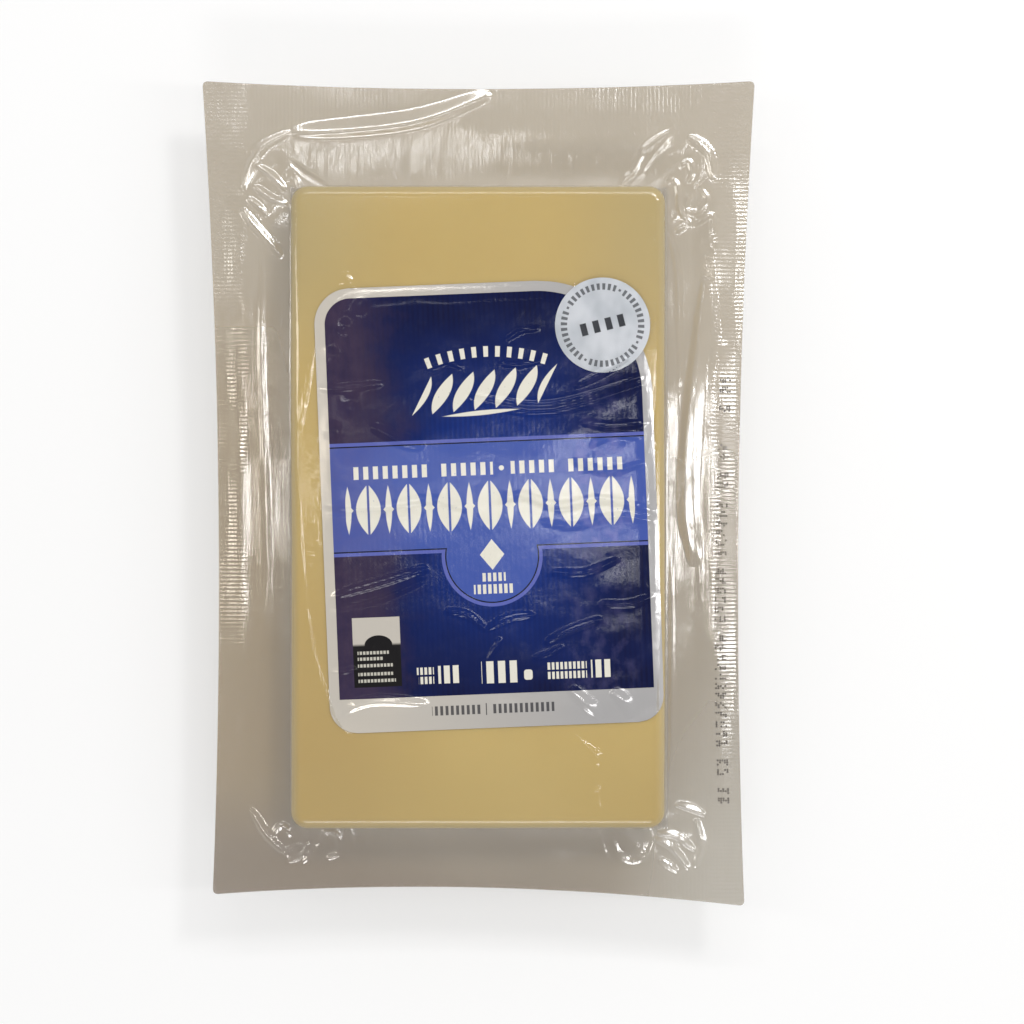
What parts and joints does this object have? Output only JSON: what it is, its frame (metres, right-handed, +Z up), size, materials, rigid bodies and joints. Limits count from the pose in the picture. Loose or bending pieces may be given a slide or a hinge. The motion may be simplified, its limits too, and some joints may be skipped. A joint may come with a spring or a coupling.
{
  "type": "vacuum-packed cheddar block",
  "caption": "Rectangular block of cheddar sealed in a clear thermoformed vacuum pack with a wide flange and a dark blue label on its top face.",
  "frame": {"origin": "middle of the pack's outline, on the surface that the pack lies on", "axes": "+Z up out of the label's face, +Y towards the head of the label along the longest side, +X to the reader's right"},
  "size_m": [0.1328, 0.1983, 0.0335],
  "materials": {
    "cheese": "smooth, slightly greasy",
    "film": "clear, glossy, slightly hazy where it is doubled",
    "label_print": "glossy dark blue print with a silver border"
  },
  "bodies": {
    "root": {"cheese_block": "cheese", "base_film": "film", "lid_film": "film", "label": "label_print"}
  },
  "joints": []
}
